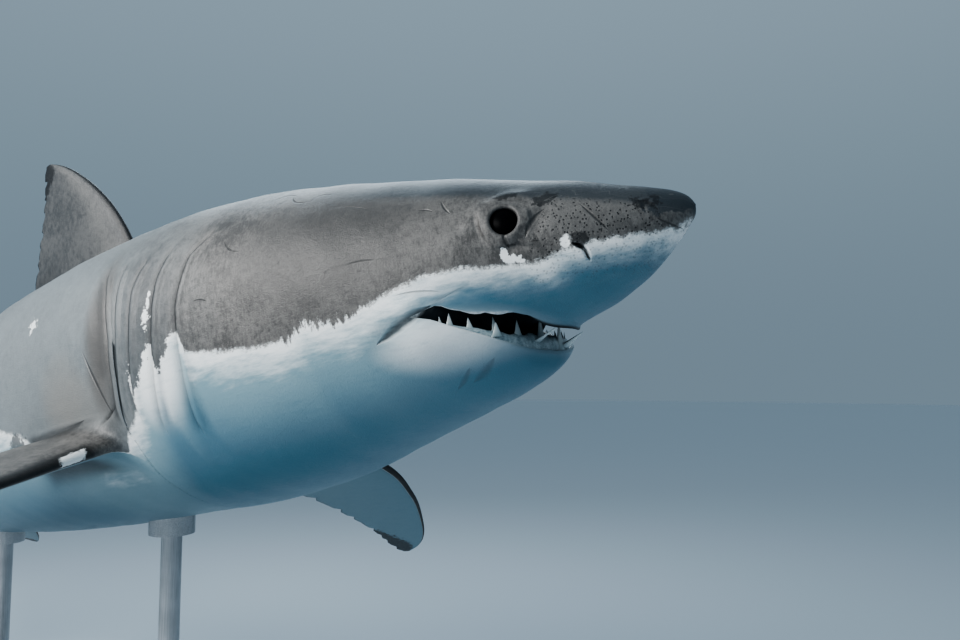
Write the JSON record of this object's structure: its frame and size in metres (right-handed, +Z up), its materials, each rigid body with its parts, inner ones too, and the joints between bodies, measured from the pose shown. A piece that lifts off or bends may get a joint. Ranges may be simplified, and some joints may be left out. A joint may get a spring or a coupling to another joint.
{
  "type": "great white shark display model",
  "caption": "Life-size great white shark in a swimming pose, mouth a little open, held up by short rods on a flat base.",
  "frame": {"origin": "centre of the base plate's underside, on the floor", "axes": "+X towards the snout, +Y to the shark's left, +Z up"},
  "size_m": [4.1647, 2.0227, 1.9752],
  "materials": {
    "skin": "matte grey above and white below, with a ragged edge between",
    "eye": "glossy black",
    "teeth": "satin ivory",
    "mouth": "moist gum and mouth lining",
    "stand_base": "satin black paint on a wooden plinth board",
    "stand_steel": "brushed"
  },
  "bodies": {
    "root": {"head": "skin", "lower_jaw": "skin", "gill_region": "skin", "trunk_front": "skin", "trunk_rear": "skin", "tail_stock": "skin", "caudal_fin_upper": "skin", "caudal_fin_lower": "skin", "dorsal_fin_first": "skin", "dorsal_fin_second": "skin", "anal_fin": "skin", "pectoral_fin_left": "skin", "pectoral_fin_right": "skin", "pelvic_fin_left": "skin", "pelvic_fin_right": "skin", "eye_left": "eye", "eye_right": "eye", "stand_base": "stand_base", "stand_flange_front": "stand_steel", "stand_flange_rear": "stand_steel", "stand_rod_front": "stand_steel", "stand_rod_rear": "stand_steel", "stand_saddle_front": "stand_steel", "stand_saddle_rear": "stand_steel"}
  },
  "joints": []
}
